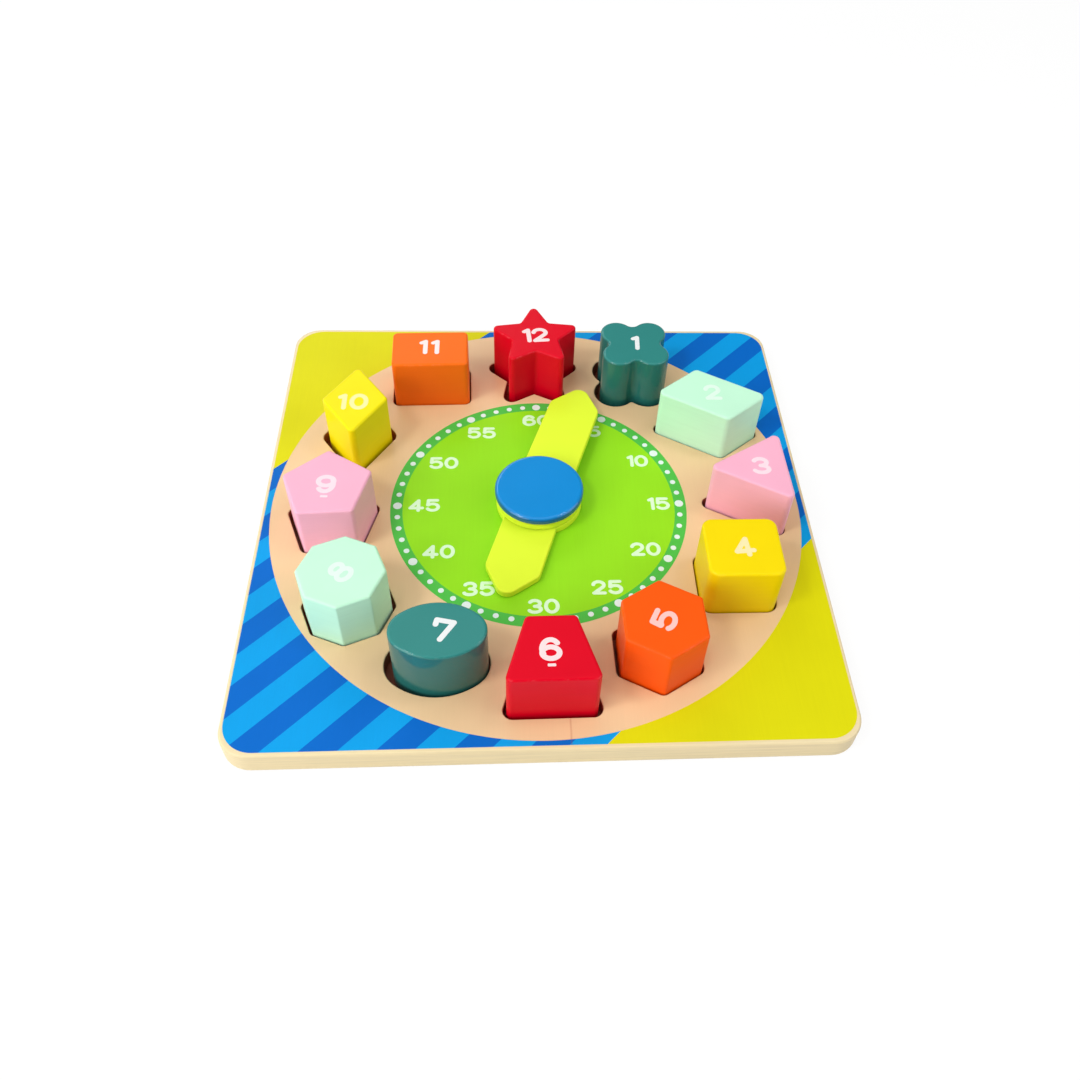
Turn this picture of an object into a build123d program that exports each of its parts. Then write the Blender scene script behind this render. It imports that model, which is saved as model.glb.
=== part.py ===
from build123d import *
import os
from math import cos, sin, radians, sqrt

# Teaching clock puzzle: a square board with twelve shaped blocks around a dial with two hands.
# Millimetres. +Z is up, the board lies flat, and the origin is the middle of its underside.

# ---- driving dimensions: board ----
BOARD_SIDE = 220.0
BOARD_CORNER_R = 11.0
PANEL_T = 6.5
BACKING_T = 3.0
EDGE_ROUND = 0.9
SOCKET_RIM = 0.3

# ---- driving dimensions: blocks ----
BLOCK_RISE = 22.8
BLOCK_EDGE_ROUND = 1.0
BLOCK_FOOT_CHAMFER = 0.5

# ---- driving dimensions: hands and pivot ----
DOWEL_R = 4.0
RUNNING_GAP = 0.08
WASHER_R = 9.0
DIAL_WASHER_T = 0.5
HAND_WASHER_T = 0.8
CAP_WASHER_T = 0.5
HAND_T = 2.7
HAND_WIDTH = 21.6
HUB_R = 17.2
POINT_LENGTH = 13.5
POINT_R = 4.5
SHOULDER_R = 4.0
HAND_EDGE_ROUND = 0.5
MINUTE_LENGTH = 64.3
HOUR_LENGTH = 49.4
MINUTE_ANGLE = 18.4
HOUR_ANGLE = 197.0
CAP_R = 17.7
CAP_T = 3.0
CAP_EDGE_ROUND = 1.5
CAP_FOOT_CHAMFER = 0.4
CAP_BORE_DEPTH = 1.6
DOWEL_CHAMFER = 0.5

# ---- levels, bottom to top ----
FLOOR_Z = BACKING_T
DIAL_Z = FLOOR_Z + PANEL_T
HOUR_Z = DIAL_Z + DIAL_WASHER_T
HAND_WASHER_Z = HOUR_Z + HAND_T
MINUTE_Z = HAND_WASHER_Z + HAND_WASHER_T
CAP_WASHER_Z = MINUTE_Z + HAND_T
CAP_Z = CAP_WASHER_Z + CAP_WASHER_T
BLOCK_HEIGHT = PANEL_T + BLOCK_RISE


# ---- outlines of the twelve shapes, each about its own middle ----
def rounded(points, radius):
    """A polygon through the points with every corner rounded."""
    face = make_face(Polyline(*points, close=True))
    return fillet(face.vertices(), radius)


def regular(corners, outer_r, first_angle, radius):
    """A regular polygon with its first corner at first_angle degrees."""
    step = 360 / corners
    angles = [radians(first_angle + step * i) for i in range(corners)]
    return rounded([(outer_r * cos(a), outer_r * sin(a)) for a in angles], radius)


def quatrefoil(lobe_r=7.2, lobe_offset=7.2, valley_r=3.3):
    """Four round lobes joined by tangent hollow arcs."""
    reach = lobe_r + valley_r
    valley_offset = lobe_offset + sqrt(reach ** 2 - lobe_offset ** 2)
    share = lobe_r / reach
    arcs = []
    for turn in range(4):
        lobe = Vector(lobe_offset, lobe_offset)
        before = Vector(valley_offset, 0)
        after = Vector(0, valley_offset)
        start = lobe + (before - lobe) * share
        end = lobe + (after - lobe) * share
        crest = lobe + Vector(1, 1).normalized() * lobe_r
        valley = after - Vector(0, valley_r)
        next_start = Vector(-end.X, end.Y)
        quarter = [ThreePointArc(start, crest, end), ThreePointArc(end, valley, next_start)]
        arcs += [arc.rotate(Axis.Z, 90 * turn) for arc in quarter]
    return make_face(arcs)


def parallelogram(long_side=33.2, short_side=23.8, lean=68.5, corner_r=2.6):
    across = Vector(long_side, 0)
    up = Vector(short_side * cos(radians(lean)), short_side * sin(radians(lean)))
    corner = (across + up) * -0.5
    points = [corner, corner + across, corner + across + up, corner + up]
    return rounded([(p.X, p.Y) for p in points], corner_r)


def trapezoid(narrow=17.8, wide=33.2, height=26.0, corner_r=2.0):
    half = height / 2
    points = [(-wide / 2, -half), (wide / 2, -half), (narrow / 2, half), (-narrow / 2, half)]
    return rounded(points, corner_r)


def star(outer_r=21.7, inner_r=10.6, corner_r=2.0):
    angles = [radians(90 + 36 * i) for i in range(10)]
    radii = [outer_r, inner_r] * 5
    return rounded([(r * cos(a), r * sin(a)) for r, a in zip(radii, angles)], corner_r)


def oval(length=33.9, width=23.1, end_r=8.6):
    """An oval of four tangent arcs: two tight ends and two flat sides."""
    end_middle = length / 2 - end_r
    side_r = (end_middle ** 2 + (width / 2) ** 2 - end_r ** 2) / (width - 2 * end_r)
    side_middle = side_r - width / 2
    join = Vector(end_middle, 0) + Vector(end_middle, side_middle).normalized() * end_r
    x, y = join.X, join.Y
    right = ThreePointArc((x, -y), (length / 2, 0), (x, y))
    top = ThreePointArc((x, y), (0, width / 2), (-x, y))
    left = ThreePointArc((-x, y), (-length / 2, 0), (-x, -y))
    bottom = ThreePointArc((-x, -y), (0, -width / 2), (x, -y))
    return make_face([right, top, left, bottom])


def rhombus(width=26.8, height=40.0, corner_r=2.0):
    points = [(width / 2, 0), (0, height / 2), (-width / 2, 0), (0, -height / 2)]
    return rounded(points, corner_r)


# name, outline, turn in degrees, middle of the socket, gap round the block when it is central,
# and how far the block has slid in that gap
BLOCKS = [
    ("block_01_quatrefoil", quatrefoil(), 0, (43.1, 73.4), 1.9, (0.6, 0.1)),
    ("block_02_parallelogram", parallelogram(), -30.5, (73.6, 41.0), 0.7, (0.05, -0.35)),
    ("block_03_triangle", regular(3, 21.2, 180, 2.2), 1, (86.9, -0.4), 0.95, (0.4, -0.5)),
    ("block_04_square", RectangleRounded(28.4, 26.8, 4.0), 0, (74.0, -41.4), 0.6, (-0.15, -0.25)),
    ("block_05_hexagon", regular(6, 16.8, 90, 1.6), 1.5, (41.1, -72.1), 1.3, (0.2, -0.95)),
    ("block_06_trapezoid", trapezoid(), 0.5, (2.35, -83.5), 1.5, (-0.25, -0.3)),
    ("block_07_oval", oval(), -1, (-38.0, -75.3), 1.9, (1.3, -0.8)),
    ("block_08_octagon", regular(8, 16.1, 90, 1.2), -0.5, (-71.5, -49.7), 1.3, (0.0, -0.9)),
    ("block_09_pentagon", regular(5, 17.8, 90, 1.8), 3, (-81.4, -8.2), 1.2, (0.45, -0.75)),
    ("block_10_rhombus", rhombus(), 1, (-75.15, 38.75), 2.2, (0.5, -0.95)),
    ("block_11_rectangle", RectangleRounded(32.4, 21.8, 2.2), 1.5, (-45.75, 70.0), 0.8, (0.3, -0.4)),
    ("block_12_star", star(), 1, (-0.6, 77.7), 1.6, (0.7, 1.0)),
]


# ---- solids ----
def board_outline():
    return RectangleRounded(BOARD_SIDE, BOARD_SIDE, BOARD_CORNER_R)


def front_panel():
    """The sawn panel: each socket is its block's own outline, opened by its gap."""
    sawn = board_outline()
    for name, outline, turn, socket, gap, slide in BLOCKS:
        sawn -= Pos(*socket) * Rot(0, 0, turn) * offset(outline, gap)
    panel = extrude(Pos(0, 0, FLOOR_Z) * sawn, PANEL_T)
    panel = fillet(panel.faces().sort_by(Axis.Z)[-1].outer_wire().edges(), EDGE_ROUND)
    sockets = panel.faces().sort_by(Axis.Z)[-1].inner_wires()
    panel = chamfer([edge for wire in sockets for edge in wire.edges()], SOCKET_RIM)
    return panel - extrude(Pos(0, 0, FLOOR_Z) * Circle(DOWEL_R), PANEL_T)


def backing_panel():
    """The thin sheet that floors the sockets and rests on the table."""
    sheet = extrude(board_outline(), BACKING_T)
    return fillet(sheet.faces().sort_by(Axis.Z)[0].edges(), EDGE_ROUND)


def block(outline, turn, socket, slide):
    """A block standing on its socket's floor, its top edge softened and its foot eased."""
    solid = extrude(outline, BLOCK_HEIGHT)
    solid = fillet(solid.faces().sort_by(Axis.Z)[-1].edges(), BLOCK_EDGE_ROUND)
    solid = chamfer(solid.faces().sort_by(Axis.Z)[0].edges(), BLOCK_FOOT_CHAMFER)
    return Pos(*socket, FLOOR_Z) * Pos(*slide) * Rot(0, 0, turn) * solid


def hand(length, level, clock_angle):
    """A flat hand: round hub, straight blade, blunt rounded point."""
    half = HAND_WIDTH / 2
    shoulder = length - POINT_LENGTH + POINT_R / 2
    points = [(-half, 0), (half, 0), (half, shoulder), (0, length + POINT_R / 2), (-half, shoulder)]
    blade = make_face(Polyline(*points, close=True))
    corners = blade.vertices().sort_by(Axis.Y)
    blade = fillet(corners[-1], POINT_R)
    shoulders = blade.vertices().filter_by_position(Axis.Y, shoulder - 0.1, shoulder + 0.1)
    blade = fillet(shoulders, SHOULDER_R)
    outline = blade + Circle(HUB_R) - Circle(DOWEL_R + RUNNING_GAP)
    solid = extrude(outline, HAND_T)
    rim = solid.faces().sort_by(Axis.Z)[-1].outer_wire().edges()
    solid = fillet(rim, HAND_EDGE_ROUND)
    return Pos(0, 0, level) * Rot(0, 0, -clock_angle) * solid


def washer(level, thickness):
    return extrude(Pos(0, 0, level) * (Circle(WASHER_R) - Circle(DOWEL_R + RUNNING_GAP)), thickness)


def hub_cap():
    """A turned cap with a rounded rim and a blind hole for the dowel's head."""
    cap = Pos(0, 0, CAP_Z) * Cylinder(CAP_R, CAP_T, align=(Align.CENTER, Align.CENTER, Align.MIN))
    cap = fillet(cap.edges().sort_by(Axis.Z)[-1], CAP_EDGE_ROUND)
    cap = chamfer(cap.edges().sort_by(Axis.Z)[0], CAP_FOOT_CHAMFER)
    return cap - Pos(0, 0, CAP_Z) * Cylinder(
        DOWEL_R, CAP_BORE_DEPTH, align=(Align.CENTER, Align.CENTER, Align.MIN)
    )


def pivot_dowel():
    """The pin glued in the front panel that carries washers, hands and cap."""
    length = CAP_Z + CAP_BORE_DEPTH - FLOOR_Z
    pin = Pos(0, 0, FLOOR_Z) * Cylinder(DOWEL_R, length, align=(Align.CENTER, Align.CENTER, Align.MIN))
    return chamfer(pin.edges().filter_by(GeomType.CIRCLE), DOWEL_CHAMFER)


# ---- the kit, one node per piece ----
nodes = {
    "front_panel": front_panel(),
    "backing_panel": backing_panel(),
    "pivot_dowel": pivot_dowel(),
    "dial_washer": washer(DIAL_Z, DIAL_WASHER_T),
    "hour_hand": hand(HOUR_LENGTH, HOUR_Z, HOUR_ANGLE),
    "hand_washer": washer(HAND_WASHER_Z, HAND_WASHER_T),
    "minute_hand": hand(MINUTE_LENGTH, MINUTE_Z, MINUTE_ANGLE),
    "cap_washer": washer(CAP_WASHER_Z, CAP_WASHER_T),
    "hub_cap": hub_cap(),
}
for name, outline, turn, socket, gap, slide in BLOCKS:
    nodes[name] = block(outline, turn, socket, slide)

os.makedirs("parts", exist_ok=True)
for name, solid in nodes.items():
    export_step(solid, f"parts/{name}.step")
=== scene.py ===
# %% [markdown]
# # A teaching clock puzzle in painted wood
# The object is a square plywood board, printed with a clock face, with twelve painted blocks that
# lift out of sawn sockets and two wooden hands under a lacquered cap. The solid pieces arrive as a
# packed model, whose shapes stay as they are. This lesson gives every one of them its finish, and
# adds what has almost no thickness: the printed border, the dial, the minute dots and the numbers.

# %% Load the model
import bmesh
import bpy
import math
from mathutils import Matrix, Vector


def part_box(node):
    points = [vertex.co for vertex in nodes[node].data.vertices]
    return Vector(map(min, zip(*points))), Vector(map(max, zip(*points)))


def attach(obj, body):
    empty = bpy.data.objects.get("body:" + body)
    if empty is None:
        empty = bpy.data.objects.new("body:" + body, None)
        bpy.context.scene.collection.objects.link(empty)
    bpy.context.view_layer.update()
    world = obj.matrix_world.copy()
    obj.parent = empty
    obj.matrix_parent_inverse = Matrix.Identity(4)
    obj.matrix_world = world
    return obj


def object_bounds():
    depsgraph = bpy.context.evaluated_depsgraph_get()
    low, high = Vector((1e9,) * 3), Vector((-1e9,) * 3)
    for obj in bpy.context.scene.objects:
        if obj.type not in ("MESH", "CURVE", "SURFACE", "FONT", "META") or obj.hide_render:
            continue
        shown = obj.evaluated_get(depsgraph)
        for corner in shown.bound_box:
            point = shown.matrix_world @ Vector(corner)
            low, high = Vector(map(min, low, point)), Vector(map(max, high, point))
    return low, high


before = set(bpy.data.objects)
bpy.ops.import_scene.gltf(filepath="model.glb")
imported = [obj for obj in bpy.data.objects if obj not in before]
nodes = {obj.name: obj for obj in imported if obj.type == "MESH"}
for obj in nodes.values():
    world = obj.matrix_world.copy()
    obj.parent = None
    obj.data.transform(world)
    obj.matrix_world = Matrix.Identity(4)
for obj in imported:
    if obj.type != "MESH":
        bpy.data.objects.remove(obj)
cad_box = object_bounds()
MM = 0.001
FACE_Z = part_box("front_panel")[1].z
JOINT_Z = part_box("backing_panel")[1].z
blocks = sorted(name for name in nodes if name.startswith("block_"))

# %% [markdown]
# ## Camera
# The clock is seen from the front at about fifty degrees, close enough for clear perspective.
# A camera is a matrix: it is turned round the vertical, tipped down, rolled a little about its own
# axis, and then put in place. The small shift keeps the picture's middle off the lens's own axis.

# %% The camera
CAMERA_PLACE = Vector((-12.4, -269.9, 317.4)) * MM
CAMERA_TURN = math.radians(-6.014)
CAMERA_DIP = math.radians(48.782)
CAMERA_ROLL = math.radians(4.033)
SENSOR_WIDTH, LENS = 36.0, 33.58
SHIFT = (-0.0352, -0.0315)

camera = bpy.data.objects.new("camera", bpy.data.cameras.new("camera"))
bpy.context.scene.collection.objects.link(camera)
camera.matrix_world = (
    Matrix.Translation(CAMERA_PLACE)
    @ Matrix.Rotation(CAMERA_TURN, 4, "Z")
    @ Matrix.Rotation(math.pi / 2 - CAMERA_DIP, 4, "X")
    @ Matrix.Rotation(CAMERA_ROLL, 4, "Z")
)
camera.data.sensor_width, camera.data.lens = SENSOR_WIDTH, LENS
camera.data.shift_x, camera.data.shift_y = SHIFT
camera.data.clip_start, camera.data.clip_end = 0.01, 20.0
bpy.context.scene.camera = camera
bpy.context.scene.view_settings.view_transform = "Standard"
print("camera", round((CAMERA_PLACE - Vector((0, 0, FACE_Z))).length, 3), "m from the pivot")

# %% [markdown]
# ## A small language for finishes
# A finish is a tree of nodes. Wiring it by hand takes a screen of lines, so a small class wraps a
# socket and lets Python's own signs add the Math nodes: `1 - mask` is a node, `grain * 0.2` is
# another. Every other node comes from one method, `node`, which takes the node's type, its
# settings and what goes into its sockets. A pattern's frequency is in spots to the metre.


# %% Colours
def linear(red, green, blue):
    """An 8-bit screen colour as the linear colour that a shader takes."""
    parts = [c / 255 for c in (red, green, blue)]
    return [c / 12.92 if c <= 0.04045 else ((c + 0.055) / 1.055) ** 2.4 for c in parts] + [1.0]


def shaded(colour, share):
    """A colour multiplied towards black."""
    return [c * share for c in colour[:3]] + [1.0]


print("linear mid grey", [round(c, 3) for c in linear(128, 128, 128)])


# %% Wires
class Wire:
    """A node's output that can be used in sums."""

    def __init__(self, finish, socket):
        self.finish, self.socket = finish, socket

    def math(self, operation, *values):
        return self.finish.node("ShaderNodeMath", {"operation": operation}, dict(enumerate(values)))

    def __add__(self, other):
        return self.math("ADD", self, other)

    def __sub__(self, other):
        return self.math("SUBTRACT", self, other)

    def __rsub__(self, other):
        return self.math("SUBTRACT", other, self)

    def __mul__(self, other):
        return self.math("MULTIPLY", self, other)

    def __gt__(self, other):
        return self.math("GREATER_THAN", self, other)

    def __lt__(self, other):
        return self.math("LESS_THAN", self, other)

    def __abs__(self):
        return self.math("ABSOLUTE", self)

    __radd__, __rmul__ = __add__, __mul__


print("signs that make nodes: + - * > < abs")


# %% Finishes
class Finish:
    """A material with one Principled shader, built by small steps."""

    def __init__(self, name, **constants):
        self.material = bpy.data.materials.new(name)
        self.material.use_nodes = True
        self.tree = self.material.node_tree
        self.shader = self.tree.nodes["Principled BSDF"]
        for socket, value in constants.items():
            self.shader.inputs[socket.replace("_", " ")].default_value = value

    def node(self, kind, settings=None, inputs=None, output=0):
        made = self.tree.nodes.new(kind)
        for name, value in (settings or {}).items():
            if name == "stops":
                ramp = made.color_ramp.elements
                while len(ramp) < len(value):
                    ramp.new(1.0)
                for stop, (place, colour) in zip(ramp, value):
                    stop.position, stop.color = place, colour
            else:
                setattr(made, name, value)
        for socket, value in (inputs or {}).items():
            self.feed(made.inputs[socket], value)
        return Wire(self, made.outputs[output])

    def feed(self, socket, value):
        if isinstance(value, Wire):
            self.tree.links.new(value.socket, socket)
        else:
            socket.default_value = value

    def set(self, **inputs):
        for socket, value in inputs.items():
            self.feed(self.shader.inputs[socket.replace("_", " ")], value)
        return self.material

    def here(self):
        return self.node("ShaderNodeTexCoord", output="Object")

    def axes(self):
        """The three object coordinates as separate wires."""
        here = self.here()
        return [self.node("ShaderNodeSeparateXYZ", None, {0: here}, axis) for axis in "XYZ"]

    def noise(self, frequency, detail, roughness=0.5, squeeze=(1, 1, 1)):
        """Cloudy spots, drawn out along an axis where squeeze is below 1."""
        place = self.node("ShaderNodeMapping", None, {"Vector": self.here(), "Scale": squeeze})
        sizes = {"Vector": place, "Scale": frequency, "Detail": detail, "Roughness": roughness}
        return self.node("ShaderNodeTexNoise", None, sizes, "Fac")

    def ramp(self, value, *stops):
        return self.node("ShaderNodeValToRGB", {"stops": stops}, {"Fac": value}, "Color")

    def fade(self, value, low, high):
        """0 at low, 1 at high, straight in between."""
        return self.node("ShaderNodeMapRange", None, {"Value": value, "From Min": low, "From Max": high})

    def mix(self, share, first, second):
        return self.node("ShaderNodeMix", {"data_type": "RGBA"}, {0: share, 6: first, 7: second}, 2)

    def bump(self, height, strength, distance):
        relief = {"Height": height, "Strength": strength, "Distance": distance}
        return self.node("ShaderNodeBump", None, relief)


print("a finish can add:", [name for name in vars(Finish) if not name.startswith("_")])

# %% [markdown]
# ## Floor
# The clock lies on a sheet of white paper. The sheet is matt, and to the camera and to mirrors it
# also glows: a mix of the lit paper and a plain white reads as white, while the clock's shadow
# stays. The sheet lies a hair below the board, so no two faces share a plane.

# %% The floor
FLOOR_REACH = 4.0
FLOOR_SINK = 0.02 * MM
GLOW_SHARE, GLOW_STRENGTH = 0.85, 1.04
floor_mesh = bpy.data.meshes.new("floor")
sheet = bmesh.new()
bmesh.ops.create_grid(sheet, x_segments=1, y_segments=1, size=FLOOR_REACH)
bmesh.ops.translate(sheet, verts=sheet.verts, vec=(0, 0, cad_box[0].z - FLOOR_SINK))
sheet.to_mesh(floor_mesh)
sheet.free()
floor = bpy.data.objects.new("floor", floor_mesh)
bpy.context.scene.collection.objects.link(floor)

paper = Finish("white_paper", Base_Color=linear(240, 240, 240), Roughness=0.9, Specular_IOR_Level=0.1)
kinds = ("Is Camera Ray", "Is Glossy Ray", "Is Transmission Ray")
camera_ray, mirror_ray, clear_ray = [paper.node("ShaderNodeLightPath", output=kind) for kind in kinds]
seen = 1 - (1 - camera_ray) * (1 - mirror_ray) * (1 - clear_ray)
glow = paper.node("ShaderNodeEmission", None, {"Color": (1, 1, 1, 1), "Strength": GLOW_STRENGTH})
matt = Wire(paper, paper.shader.outputs[0])
shown = paper.node("ShaderNodeMixShader", None, {0: seen * GLOW_SHARE, 1: matt, 2: glow})
paper.feed(paper.tree.nodes["Material Output"].inputs["Surface"], shown)
floor.data.materials.append(paper.material)
print("floor", 2 * FLOOR_REACH, "m wide")

# %% [markdown]
# ## World
# Past the floor the studio is plain white to the camera. As a light it is kept faint, because a
# bright world lies as a haze on saturated paint: the lamps do the lighting.

# %% The world
WORLD_LIGHT = 0.15
world = bpy.data.worlds.new("studio")
bpy.context.scene.world = world
world.use_nodes = True
studio = world.node_tree.nodes
faint, white = studio["Background"], studio.new("ShaderNodeBackground")
faint.inputs["Color"].default_value = white.inputs["Color"].default_value = (1.0, 1.0, 1.0, 1.0)
faint.inputs["Strength"].default_value = WORLD_LIGHT
path = studio.new("ShaderNodeLightPath")
either = studio.new("ShaderNodeMixShader")
link = world.node_tree.links.new
link(path.outputs["Is Camera Ray"], either.inputs[0])
link(faint.outputs[0], either.inputs[1])
link(white.outputs[0], either.inputs[2])
link(either.outputs[0], studio["World Output"].inputs["Surface"])
print("the world lights at", WORLD_LIGHT)

# %% [markdown]
# ## Lamps
# Big soft lamps at the left, in front, at the right and overhead give the even light of a studio.
# Two small bright ones, the key and the second, cast the shadows and put two sparkles on the rim
# of the lacquered cap. Satin paint mirrors whatever stands opposite the camera, so the place
# behind the clock stays dim and the colours keep their depth: there is only a flat strip of light
# there, which gives the tops of the far blocks a pale sheen.

# %% The lamps
# name: place, width and height in metres, and radiance, where 1 is as bright as white paper
LAMPS = {
    "lamp_overhead": ((-0.15, 0.0, 1.1), 1.4, 1.2, 0.68),
    "lamp_key": ((-0.6, -0.33, 0.98), 0.2, 0.2, 22.0),
    "lamp_second": ((0.46, 0.1, 1.09), 0.15, 0.15, 14.0),
    "lamp_left": ((-0.85, 0.15, 0.5), 1.1, 0.9, 0.55),
    "lamp_front": ((-1.0, -0.9, 0.55), 1.1, 0.9, 4.2),
    "lamp_right": ((1.0, -0.2, 0.7), 1.0, 1.0, 1.8),
    "lamp_back": ((-0.4, 1.0, 0.8), 0.9, 0.35, 3.2),
}
for name, (place, width, height, radiance) in LAMPS.items():
    lamp = bpy.data.objects.new(name, bpy.data.lights.new(name, "AREA"))
    lamp.data.shape, lamp.data.size, lamp.data.size_y = "RECTANGLE", width, height
    lamp.data.energy = radiance * math.pi * width * height
    lamp.location = Vector(place)
    lamp.rotation_mode = "QUATERNION"
    lamp.rotation_quaternion = (-Vector(place)).to_track_quat("-Z", "Y")
    bpy.context.scene.collection.objects.link(lamp)
print("lamps, all aimed at the board's middle:", list(LAMPS))

# %% [markdown]
# ## Plywood
# The board is light plywood under a satin varnish. Its face shows fine grain that runs away from
# the reader, and its sanded edge shows the same wood end on, paler, with faint level lines. The
# thin margin outside the print is as pale as the edge. Inside the sockets the wood is painted a
# darker red brown, as painted shade in the recesses, and one glued joint crosses the front of the
# face. A single finish holds all of it: heights and distances pick the part.

# %% Bare plywood
WOOD = linear(236, 201, 154)
EDGE_WOOD = linear(234, 215, 170)
# painted shade: a darker red brown for the shadowed insides of the sockets
SOCKET_SHADE = linear(170, 92, 66)
JOINT_LINE = linear(196, 128, 96)
GRAIN_PITCH = 0.55 * MM
LINE_PITCH = 0.7 * MM
WOOD_CLOUDS, SOCKET_SHADE_SPOTS, JOINT_WANDER, PORES = 28.0, 260.0, 180.0, 1100.0
JOINT_X, JOINT_END_Y, JOINT_WIDTH = 8.4 * MM, -90.0 * MM, 0.5 * MM
WINDOW_REACH = 107.0 * MM
FACE_SKIN, SOCKET_LIP, FLOOR_SKIN = 0.12 * MM, 0.25 * MM, 0.05 * MM


def grained(finish):
    """Fine grain that runs away from the reader."""
    return finish.noise(1 / GRAIN_PITCH, 4.0, 0.6, squeeze=(1, 0.03, 1))


def glued_joint(finish):
    """1 on the hairline where two veneers meet in front of the lowest block."""
    x, y, z = finish.axes()
    wander = finish.noise(JOINT_WANDER, 1.0) * 0.3 * MM
    return finish.fade(abs(x + wander - JOINT_X), JOINT_WIDTH, 0.0) * (y < JOINT_END_Y)


def plywood(name):
    finish = Finish(name, Specular_IOR_Level=0.3, Coat_Roughness=0.2, Coat_IOR=1.45)
    x, y, z = finish.axes()
    grain = grained(finish)
    cloud = finish.noise(WOOD_CLOUDS, 2.0, squeeze=(1, 0.35, 1))
    face = finish.ramp(grain * 0.3 + cloud * 0.7, (0.35, shaded(WOOD, 0.95)), (0.65, WOOD))
    face = finish.mix(glued_joint(finish) * 0.5, face, JOINT_LINE)
    in_window = x * x + y * y < WINDOW_REACH**2
    face = finish.mix(in_window, EDGE_WOOD, face)
    lines = finish.noise(1 / LINE_PITCH, 3.0, 0.55, squeeze=(0.02, 0.02, 1))
    edge = finish.ramp(lines, (0.35, shaded(EDGE_WOOD, 0.88)), (0.65, EDGE_WOOD))
    # painted shade in the sockets, in blotches of darker and lighter tone
    spots = finish.noise(SOCKET_SHADE_SPOTS, 2.0)
    socket_shade = finish.ramp(spots, (0.3, shaded(SOCKET_SHADE, 0.75)), (0.7, SOCKET_SHADE))
    on_face = z > FACE_Z - FACE_SKIN
    in_socket = in_window * (z < FACE_Z - SOCKET_LIP) * (z > JOINT_Z - FLOOR_SKIN)
    height = grain * 0.6 + finish.noise(PORES, 2.0) * 0.4
    return finish.set(
        Base_Color=finish.mix(in_socket, finish.mix(on_face, edge, face), socket_shade),
        Roughness=0.42 + grain * 0.1,
        Coat_Weight=on_face * 0.25,
        Normal=finish.bump(height, 0.2, 0.03 * MM),
    )


def dress(node, material):
    """Gives a packed solid one finish."""
    nodes[node].data.materials.clear()
    nodes[node].data.materials.append(material)


for piece in ("front_panel", "backing_panel", "pivot_dowel"):
    dress(piece, plywood("finish_" + piece))
print("plywood on the board, grain every", round(GRAIN_PITCH / MM, 2), "mm")

# %% [markdown]
# ## Ink
# The border, the dial and the numbers are screen printed. Real ink is a few hundredths of a
# millimetre thick, so each colour is a thin plate of its own: its edge stays sharp at any distance,
# where a painted picture would blur. Its foot is sunk in the wood, so no two faces share a plane.

# %% Ink plates
INK = 0.04 * MM
INK_FOOT = 0.02 * MM
WELD = 0.002 * MM


def thicken(flat, height):
    """Lifts a copy of flat faces and closes the sides."""
    grown = bmesh.ops.extrude_face_region(flat, geom=flat.faces[:])["geom"]
    lifted = [part for part in grown if isinstance(part, bmesh.types.BMVert)]
    bmesh.ops.translate(flat, verts=lifted, vec=(0, 0, height))
    bmesh.ops.recalc_face_normals(flat, faces=flat.faces)


def lay_ink(name, flat, material, level, place=(0.0, 0.0), turn=0.0, body="board"):
    """Gives flat faces the thickness of ink, puts them at a level and lets them ride on a body."""
    bmesh.ops.remove_doubles(flat, verts=flat.verts, dist=WELD)
    bmesh.ops.recalc_face_normals(flat, faces=flat.faces)
    thicken(flat, INK + INK_FOOT)
    spot = Matrix.Translation((*place, level - INK_FOOT)) @ Matrix.Rotation(turn, 4, "Z")
    bmesh.ops.transform(flat, matrix=spot, verts=flat.verts)
    mesh = bpy.data.meshes.new(name)
    flat.to_mesh(mesh)
    flat.free()
    mesh.materials.append(material)
    plate = bpy.data.objects.new(name, mesh)
    bpy.context.scene.collection.objects.link(plate)
    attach(plate, body)


print("ink stands", round(INK / MM, 3), "mm proud")

# %% [markdown]
# ## The look of ink
# The ink is satin and thin enough for the grain to show through as a faint change of tone. Where
# it crosses the glued joint, the joint shows as a dull line.

# %% Ink finish
INK_CLOUDS, SCREEN_SPOTS = 45.0, 1500.0
INKED_JOINT = linear(96, 84, 110)


def ink(name, colour, jointed=False):
    finish = Finish(name, Specular_IOR_Level=0.1, Coat_Roughness=0.2, Coat_IOR=1.45)
    grain = grained(finish)
    cloud = finish.noise(INK_CLOUDS, 2.0)
    tone = finish.ramp(grain * 0.4 + cloud * 0.6, (0.35, shaded(colour, 0.95)), (0.65, colour))
    if jointed:
        tone = finish.mix(glued_joint(finish) * 0.4, tone, INKED_JOINT)
    height = grain * 0.5 + finish.noise(SCREEN_SPOTS, 2.0) * 0.5
    return finish.set(
        Base_Color=tone,
        Roughness=0.38 + grain * 0.1,
        Coat_Weight=cloud * 0.05,
        Normal=finish.bump(height, 0.15, 0.03 * MM),
    )


print("ink clouds about", round(1000 / INK_CLOUDS), "mm across")

# %% [markdown]
# ## The printed border
# The print is a rounded square with a round window of bare wood. Two opposite corners carry
# slanting stripes in two blues, the other two are plain yellow. The quickest sound way to the
# shape is one flat face between two loops, which is then sawn by slanting planes.

# %% A sheet with a window
BORDER_REACH, BORDER_CORNER, CORNER_STEPS = (108.7 * MM, 108.3 * MM), 11.3 * MM, 16
WINDOW_R, WINDOW_STEPS = 106.5 * MM, 288
WINDOW_CORE = 0.97 * WINDOW_R


def rounded_sheet(width, depth, corner, steps):
    """A flat rectangle with rounded corners, about the origin."""
    flat = bmesh.new()
    corners = bmesh.ops.create_grid(flat, x_segments=1, y_segments=1, size=0.5)["verts"]
    bmesh.ops.scale(flat, verts=corners, vec=(width, depth, 1))
    bmesh.ops.bevel(
        flat, geom=corners, affect="VERTICES", offset=corner, segments=steps, profile=0.5, material=-1
    )
    return flat


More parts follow.
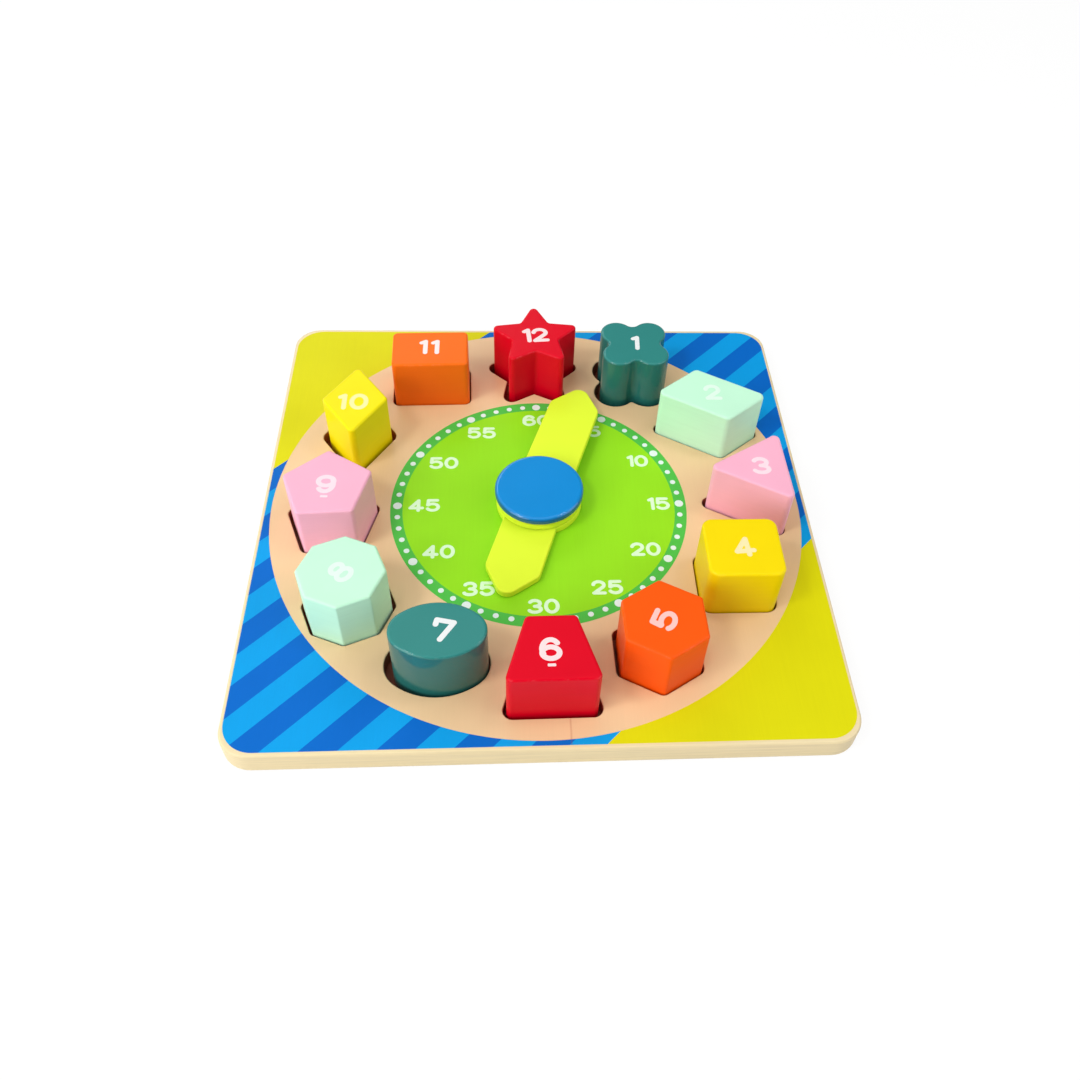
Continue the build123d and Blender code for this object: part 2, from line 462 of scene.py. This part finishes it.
def border_sheet():
    """The flat rounded square with its round window."""
    flat = rounded_sheet(2 * BORDER_REACH[0], 2 * BORDER_REACH[1], BORDER_CORNER, CORNER_STEPS)
    bmesh.ops.delete(flat, geom=flat.faces[:], context="FACES_ONLY")
    bmesh.ops.create_circle(flat, segments=WINDOW_STEPS, radius=WINDOW_R)
    bmesh.ops.triangle_fill(flat, edges=flat.edges[:], use_beauty=True)
    window = [face for face in flat.faces if face.calc_center_median().length < WINDOW_CORE]
    bmesh.ops.delete(flat, geom=window, context="FACES")
    return flat


print("print", round(2 * BORDER_REACH[0] / MM, 1), "mm wide, window", round(2 * WINDOW_R / MM, 1), "mm")

# %% Stripes and corners
STRIPE_PITCH = 12.87 * MM
STRIPES_EACH_WAY = 10
SLANT = Vector((1, -1, 0))


def join(pieces):
    """Several flat meshes as one."""
    whole = bmesh.new()
    for flat in pieces:
        carrier = bpy.data.meshes.new("carrier")
        flat.to_mesh(carrier)
        flat.free()
        whole.from_mesh(carrier)
        bpy.data.meshes.remove(carrier)
    return whole


def border_between(low, high):
    """The part of the border between two slanting lines, given as x - y."""
    flat = border_sheet()
    for bound, outer in ((low, False), (high, True)):
        bmesh.ops.bisect_plane(
            flat,
            geom=flat.verts[:] + flat.edges[:] + flat.faces[:],
            plane_co=SLANT * bound / 2,
            plane_no=SLANT,
            clear_outer=outer,
            clear_inner=not outer,
        )
    return flat


def striped(first):
    """Every second blue stripe, joined in one flat mesh."""
    counts = range(first - STRIPES_EACH_WAY, STRIPES_EACH_WAY, 2)
    return join([border_between(n * STRIPE_PITCH, (n + 1) * STRIPE_PITCH) for n in counts])


def yellow_corners():
    reach, beyond = STRIPES_EACH_WAY * STRIPE_PITCH, 4 * BORDER_REACH[0]
    return join([border_between(reach, beyond), border_between(-beyond, -reach)])


BORDER_PARTS = {
    "border_dark_blue": (striped(0), linear(0, 104, 199)),
    "border_light_blue": (striped(1), linear(6, 158, 229)),
    "border_yellow": (yellow_corners(), linear(221, 217, 4)),
}
for name, (flat, colour) in BORDER_PARTS.items():
    lay_ink(name, flat, ink("ink_" + name, colour, jointed=True), FACE_Z)
print("border of", 2 * STRIPES_EACH_WAY, "stripes and two yellow corners")

# %% [markdown]
# ## The dial
# A pale green disc inside a darker ring that carries sixty minute dots, every fifth one larger.
# Both are bands, so a short edge spun once round the middle makes them. The disc stops short of
# the washer under the hands.

# %% Dial
DIAL_PLACE = (0.25 * MM, -0.8 * MM)
RING_INNER, RING_OUTER = 55.0 * MM, 59.85 * MM
DISC_INNER = 9.6 * MM
DOT_CIRCLE_R, DOT_R, FIFTH_DOT_R = 57.06 * MM, 1.12 * MM, 1.75 * MM
DIAL_STEPS, DOT_STEPS = 192, 24


def band(inner, outer):
    flat = bmesh.new()
    near, far = (bmesh.ops.create_vert(flat, co=(0, r, 0))["vert"][0] for r in (inner, outer))
    edge = flat.edges.new((near, far))
    whole = {"angle": math.tau, "steps": DIAL_STEPS, "axis": (0, 0, 1), "use_merge": True}
    bmesh.ops.spin(flat, geom=[near, far, edge], cent=(0, 0, 0), **whole)
    return flat


def minute_dots():
    flat = bmesh.new()
    for minute in range(60):
        radius = DOT_R if minute % 5 else FIFTH_DOT_R
        spot = Matrix.Rotation(-math.tau * minute / 60, 4, "Z") @ Matrix.Translation((0, DOT_CIRCLE_R, 0))
        bmesh.ops.create_circle(flat, cap_ends=True, segments=DOT_STEPS, radius=radius, matrix=spot)
    return flat


disc_ink = ink("ink_dial", linear(152, 227, 32))
ring_ink = ink("ink_ring", linear(84, 194, 76))
dot_ink = ink("ink_white_dots", linear(230, 244, 238))
lay_ink("dial_disc", band(DISC_INNER, RING_INNER), disc_ink, FACE_Z, DIAL_PLACE)
lay_ink("dial_ring", band(RING_INNER, RING_OUTER), ring_ink, FACE_Z, DIAL_PLACE)
lay_ink("minute_dots", minute_dots(), dot_ink, FACE_Z + INK, DIAL_PLACE)
print("dial: a disc, a ring and 60 dots")

# %% [markdown]
# ## Rounded numbers
# The numbers are drawn as a sign painter draws them, with strokes of one width and round ends.
# A straight stroke is a strip whose corners are bevelled until its ends are round. A bow is a
# short edge spun round part of a circle, whose two rims are then stretched to ovals one stroke
# apart, and a dot rounds off each of its ends. Lengths are in millimetres on a block.

# %% Strokes
STROKE = 1.95
ROUND_STEPS = 10
DEGREES_A_STEP = 9
SPUN_INNER, SPUN_OUTER = 1.0, 2.0


def bar(start, end):
    """A straight stroke with round ends."""
    start, end = Vector((*start, 0)), Vector((*end, 0))
    run = end - start
    flat = rounded_sheet(run.length + STROKE, STROKE, STROKE / 2, ROUND_STEPS)
    spot = Matrix.Translation((start + end) / 2) @ Matrix.Rotation(math.atan2(run.y, run.x), 4, "Z")
    bmesh.ops.transform(flat, matrix=spot, verts=flat.verts)
    return [flat]


def round_end(middle, reach, angle):
    """A dot on an oval, at an angle."""
    dot = bmesh.new()
    bmesh.ops.create_circle(dot, cap_ends=True, segments=2 * ROUND_STEPS, radius=STROKE / 2)
    spot = (middle[0] + reach[0] * math.cos(angle), middle[1] + reach[1] * math.sin(angle), 0)
    bmesh.ops.translate(dot, verts=dot.verts, vec=spot)
    return dot


def bow(middle, reach, start, sweep):
    """Part of an oval, from an angle and through a sweep in degrees, with round ends."""
    flat = bmesh.new()
    first = Vector((math.cos(math.radians(start)), math.sin(math.radians(start)), 0))
    pair = [bmesh.ops.create_vert(flat, co=first * r)["vert"][0] for r in (SPUN_INNER, SPUN_OUTER)]
    edge = flat.edges.new(pair)
    closed = abs(sweep) == 360
    steps = max(6, round(abs(sweep) / DEGREES_A_STEP))
    turn = {"angle": math.radians(sweep), "steps": steps, "axis": (0, 0, 1), "use_merge": closed}
    bmesh.ops.spin(flat, geom=[*pair, edge], cent=(0, 0, 0), **turn)
    between = (SPUN_INNER + SPUN_OUTER) / 2
    inner = [v for v in flat.verts if v.co.length < between]
    outer = [v for v in flat.verts if v.co.length > between]
    for rim, spun, away in ((inner, SPUN_INNER, -STROKE / 2), (outer, SPUN_OUTER, STROKE / 2)):
        bmesh.ops.scale(flat, verts=rim, vec=((reach[0] + away) / spun, (reach[1] + away) / spun, 1))
    bmesh.ops.translate(flat, verts=flat.verts, vec=(*middle, 0))
    ends = () if closed else (math.radians(start), math.radians(start + sweep))
    return [flat] + [round_end(middle, reach, angle) for angle in ends]


print("strokes", STROKE, "mm wide")

# %% [markdown]
# ## Ten digits
# Each digit stands about its own middle and is 9.4 high. It is a half width, and then its strokes:
# a bar goes from point to point, and a bow has a middle, two radii, a first angle and a sweep.
# Strokes cross, and flat faces that overlap would flicker. So the strokes are thickened and melted
# into one solid by a Boolean union, and only the top of the result is kept, as one sheet of ink.
# The union's second object is empty: it is there because the modifier asks for one.

# %% The digits
DIGITS = {
    "0": (3.85, [(bow, (0, 0), (2.88, 3.72), 0, 360)]),
    "1": (1.85, [(bar, (0.9, 3.7), (0.9, -3.7)), (bar, (0.9, 3.7), (-0.85, 2.65))]),
    "2": (
        3.75,
        [
            (bow, (-0.15, 1.5), (2.65, 2.2), 172, -212),
            (bar, (1.88, 0.09), (-2.6, -3.7)),
            (bar, (-2.6, -3.7), (2.75, -3.7)),
        ],
    ),
    "3": (3.9, [(bow, (-0.1, 1.85), (2.55, 1.85), 155, -245), (bow, (-0.1, -1.85), (2.95, 1.85), 90, -245)]),
    "4": (
        4.15,
        [
            (bar, (1.1, 3.6), (1.1, -3.7)),
            (bar, (1.1, 3.6), (-3.15, -1.9)),
            (bar, (-3.15, -1.9), (3.15, -1.9)),
        ],
    ),
    "5": (
        3.95,
        [
            (bar, (-2.3, 3.7), (2.3, 3.7)),
            (bar, (-2.3, 3.7), (-2.55, 0.35)),
            (bow, (-0.05, -1.3), (2.95, 2.4), 140, -290),
        ],
    ),
    "6": (3.9, [(bow, (0, -1.45), (2.9, 2.27), 0, 360), (bow, (0, 0), (2.9, 3.72), 40, 170)]),
    "7": (
        4.0,
        [
            (bar, (-3.0, 3.6), (-3.0, 1.7)),
            (bar, (-3.0, 3.6), (2.95, 3.6)),
            (bar, (2.95, 3.6), (0.0, -3.9)),
        ],
    ),
    "8": (3.8, [(bow, (0, 1.95), (2.35, 1.77), 0, 360), (bow, (0, -1.68), (2.85, 2.04), 0, 360)]),
    "9": (3.9, [(bow, (0, 1.45), (2.9, 2.27), 0, 360), (bow, (0, 0), (2.9, 3.72), 220, 170)]),
}
print("digits:", "".join(DIGITS))

# %% Melting strokes
MELT_DEPTH = 1.0
STROKE_WELD = 0.001


def melt(plates, size):
    """Unites flat strokes in one flat mesh, in metres."""
    for flat in plates:
        bmesh.ops.remove_doubles(flat, verts=flat.verts, dist=STROKE_WELD)
        thicken(flat, MELT_DEPTH)
    whole = join(plates)
    strokes = bpy.data.objects.new("strokes", bpy.data.meshes.new("strokes"))
    nothing = bpy.data.objects.new("nothing", bpy.data.meshes.new("nothing"))
    whole.to_mesh(strokes.data)
    whole.free()
    for spare in (strokes, nothing):
        bpy.context.scene.collection.objects.link(spare)
    union = strokes.modifiers.new("union", "BOOLEAN")
    union.operation, union.solver, union.use_self, union.object = "UNION", "EXACT", True, nothing
    seen_now = bpy.context.evaluated_depsgraph_get()
    melted = bpy.data.meshes.new_from_object(strokes.evaluated_get(seen_now))
    flat = bmesh.new()
    flat.from_mesh(melted)
    spare_meshes = [melted, strokes.data, nothing.data]
    for spare in (strokes, nothing):
        bpy.data.objects.remove(spare)
    for spare in spare_meshes:
        bpy.data.meshes.remove(spare)
    below = [face for face in flat.faces if face.calc_center_median().z < MELT_DEPTH - STROKE_WELD]
    bmesh.ops.delete(flat, geom=below, context="FACES")
    bmesh.ops.translate(flat, verts=flat.verts, vec=(0, 0, -MELT_DEPTH))
    bmesh.ops.scale(flat, verts=flat.verts, vec=(size[0] * MM, size[1] * MM, 1))
    return flat


print("strokes are melted as plates", MELT_DEPTH, "mm thick")

# %% Numbers
DASH_SIZE, DASH_CORNER, DASH_STEPS = (2.85, 1.1), 0.35, 4
DASH_PLACE = (0.2, -6.2, 0)


def number(text, size, gap=0.0, underlined=False):
    """A number in strokes of ink, centred, as one flat sheet."""
    plates = []
    pen = -(sum(2 * DIGITS[c][0] for c in text) + gap * (len(text) - 1)) / 2
    for c in text:
        half, strokes = DIGITS[c]
        for draw, *shape in strokes:
            for flat in draw(*shape):
                bmesh.ops.translate(flat, verts=flat.verts, vec=(pen + half, 0, 0))
                plates.append(flat)
        pen += 2 * half + gap
    if underlined:
        dash = rounded_sheet(*DASH_SIZE, DASH_CORNER, DASH_STEPS)
        bmesh.ops.translate(dash, verts=dash.verts, vec=DASH_PLACE)
        plates.append(dash)
    return melt(plates, size)


trial = number("8", (1, 1))
print("an 8 melts to", len(trial.faces), "flat faces")
trial.free()

# %% [markdown]
# ## Numbers on the dial
# Twelve numbers count the minutes. They stand upright round the dial, not turned with it, and
# each is set near its dot, because an exact circle would crowd the wide ones.

# %% Dial numbers
DIAL_DIGIT_SIZE, DIAL_DIGIT_GAP = (0.76, 0.72), 0.5
# minute: the number's middle, in millimetres from the board's middle
DIAL_NUMBERS = {
    5: (24.95, 41.2),
    10: (42.4, 23.35),
    15: (48.95, -0.8),
    20: (41.3, -24.5),
    25: (24.9, -42.8),
    30: (0.35, -51.15),
    35: (-23.85, -42.7),
    40: (-39.5, -24.55),
    45: (-46.1, -0.7),
    50: (-39.2, 22.8),
    55: (-23.6, 40.5),
    60: (0.15, 48.1),
}
dial_ink = ink("ink_dial_numbers", linear(224, 255, 212))
for minute, middle in DIAL_NUMBERS.items():
    figure = number(str(minute), DIAL_DIGIT_SIZE, DIAL_DIGIT_GAP)
    spot = [part * MM for part in middle]
    lay_ink(f"minute_{minute:02d}", figure, dial_ink, FACE_Z + INK, spot)
print(len(DIAL_NUMBERS), "numbers on the dial")

# %% [markdown]
# ## Paint
# The blocks are sawn from beech and sprayed. Under the satin paint the grain still shows as faint
# level lines on the sides, and the upper edges are painted paler in specks, which is partly wear
# where fingers pick the blocks up and partly a painted highlight. The teal dries glossier than the
# rest, and on some colours the sides are painted darker than the tops, as painted shade. One
# function makes every paint, so that all of them share the same hand.

# %% Block paint
FIBRES, BLOTCHES, WEAR_HIGHLIGHT_SPOTS, PEEL = 700.0, 55.0, 420.0, 1300.0
WEAR_HIGHLIGHT_TINT = linear(250, 240, 232)
WEAR_HIGHLIGHT_TOP, WEAR_HIGHLIGHT_FOOT = 0.15 * MM, 0.8 * MM
SIDE_SHADE_TOP, SIDE_SHADE_FOOT = 0.15 * MM, 0.9 * MM


def paint(name, colour, roughness=0.36, coat=0.0, top=None, side_shade=0.0, wear_highlight_share=0.06):
    """Satin paint. With the height of a block's top it also pales the edge in specks, as wear and a
    painted highlight, and darkens the sides as painted shade.
    """
    finish = Finish(name, Specular_IOR_Level=0.12, Coat_Roughness=0.06)
    grain = finish.noise(FIBRES, 3.0, 0.6, squeeze=(0.06, 0.06, 1))
    blotch = finish.noise(BLOTCHES, 2.0)
    tone = finish.ramp(blotch * 0.55 + grain * 0.45, (0.3, shaded(colour, 0.94)), (0.7, colour))
    if top is not None:
        x, y, z = finish.axes()
        # paler specks on the upper edge band: partly wear, partly a painted highlight
        edge = (z > top - WEAR_HIGHLIGHT_FOOT) * (z < top - WEAR_HIGHLIGHT_TOP)
        wear_and_highlight = finish.fade(finish.noise(WEAR_HIGHLIGHT_SPOTS, 4.0, 0.65), 0.52, 0.75)
        tone = finish.mix(edge * wear_and_highlight * wear_highlight_share, tone, WEAR_HIGHLIGHT_TINT)
        # painted shade: from just under the top downwards, the sides are mixed towards a darker copy of the
        # paint
        shade_on_side = finish.fade(z, top - SIDE_SHADE_TOP, top - SIDE_SHADE_FOOT)
        tone = finish.mix(shade_on_side * side_shade, tone, shaded(colour, 0.3))
    height = grain * 0.55 + finish.noise(PEEL, 2.0) * 0.45
    return finish.set(
        Base_Color=tone,
        Roughness=roughness - 0.04 + grain * 0.1,
        Coat_Weight=(coat - 0.05 + blotch * 0.1) if coat else 0.0,
        Normal=finish.bump(height, 0.22, 0.05 * MM),
    )


# the paler specks in that band are partly wear, partly a painted highlight
print("paint is rubbed down to", round(WEAR_HIGHLIGHT_FOOT / MM, 2), "mm under a block's top")

# %% Twelve painted blocks
# name: colour, how well white ink covers it, how glossy it dries, how much painted shade darkens its sides
PAINTS = {
    "teal": (linear(46, 134, 128), 0.85, 0.5, 0.5),
    "mint": (linear(199, 249, 216), 0.45, 0.0, 0.0),
    "pink": (linear(250, 181, 205), 0.55, 0.0, 0.0),
    "yellow": (linear(248, 220, 3), 0.45, 0.0, 0.05),
    "orange": (linear(252, 90, 9), 0.55, 0.0, 0.0),
    "red": (linear(223, 0, 33), 0.76, 0.0, 0.05),
    "lemon": (linear(249, 233, 5), 0.4, 0.0, 0.1),
    "light_orange": (linear(253, 112, 22), 0.85, 0.0, 0.05),
}
COLOUR_ORDER = ["teal", "mint", "pink", "yellow", "orange", "red"]
COLOUR_ORDER += ["teal", "mint", "pink", "lemon", "light_orange", "red"]
for name, colour in zip(blocks, COLOUR_ORDER):
    tint, cover, gloss, side_shade = PAINTS[colour]
    dress(name, paint("finish_" + name, tint, coat=gloss, top=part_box(name)[1].z, side_shade=side_shade))
print("painted", len(blocks), "blocks in", len(PAINTS), "tints")

# %% [markdown]
# ## Numbers on the blocks
# Each block carries its hour, printed slightly askew as the block happened to lie. The 6 and the 9
# are underlined, because without their place on the board they look alike. The white ink is thin,
# so every number takes a little of the paint's colour.

# %% Block numbers
# hour: turn in degrees, and shift in millimetres from the middle of the block's box
BLOCK_NUMBERS = {
    1: (-3, (0.2, -0.1)),
    2: (0, (0.25, 0.75)),
    3: (0, (4.0, -0.45)),
    4: (5, (0.05, -0.45)),
    5: (63, (-0.35, -0.7)),
    6: (0, (-0.85, -1.0)),
    7: (-13, (1.9, -0.3)),
    8: (50, (0.1, -0.55)),
    9: (-2, (0.05, -1.7)),
    10: (0, (-0.55, -1.85)),
    11: (0, (-0.45, 0.7)),
    12: (5, (0.25, -1.75)),
}
DIGIT_GAPS = {10: 1.1, 11: 1.3, 12: 0.4}
DIGIT_SIZES = {5: (1.1, 0.97)}
INK_WHITE = 0.96


def over(colour, cover):
    """White ink that lets some of the paint through."""
    return [c * (1 - cover) + INK_WHITE * cover for c in colour[:3]] + [1.0]


for name, colour in zip(blocks, COLOUR_ORDER):
    hour = int(name.split("_")[1])
    turn, shift = BLOCK_NUMBERS[hour]
    low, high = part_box(name)
    spot = [(low[axis] + high[axis]) / 2 + shift[axis] * MM for axis in (0, 1)]
    size, gap = DIGIT_SIZES.get(hour, (1.0, 1.0)), DIGIT_GAPS.get(hour, 0.0)
    figure = number(str(hour), size, gap, underlined=hour in (6, 9))
    hour_ink = ink(f"ink_number_{hour:02d}", over(*PAINTS[colour][:2]))
    lay_ink(f"number_{hour:02d}", figure, hour_ink, high.z, spot, math.radians(turn), name)
print(len(BLOCK_NUMBERS), "block numbers, the 6 and the 9 underlined")

# %% [markdown]
# ## Hands, cap and washers
# The hands are cut from thin wood and painted a bright yellow green. The cap over their hub is
# dipped in lacquer, which mirrors the lamps, and its rim is painted a darker blue as painted
# shade. Its edge has none of the paler specks of wear and painted highlight. Milky washers keep
# the wood from rubbing on wood.

# %% Hands and hub
for hand in ("hour_hand", "minute_hand"):
    dress(hand, paint("finish_" + hand, linear(227, 250, 55), roughness=0.4))
cap_blue, cap_top = linear(4, 140, 215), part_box("hub_cap")[1].z
# painted shade: the cap's rim is mixed well towards a darker blue
lacquer = paint("finish_hub_cap", cap_blue, roughness=0.3, coat=0.75, top=cap_top, side_shade=0.8, wear_highlight_share=0.0)
dress("hub_cap", lacquer)
for washer in ("dial_washer", "hand_washer", "cap_washer"):
    dress(washer, paint("finish_" + washer, linear(236, 240, 236), roughness=0.5))
print("hands, cap and three washers finished")

# %% [markdown]
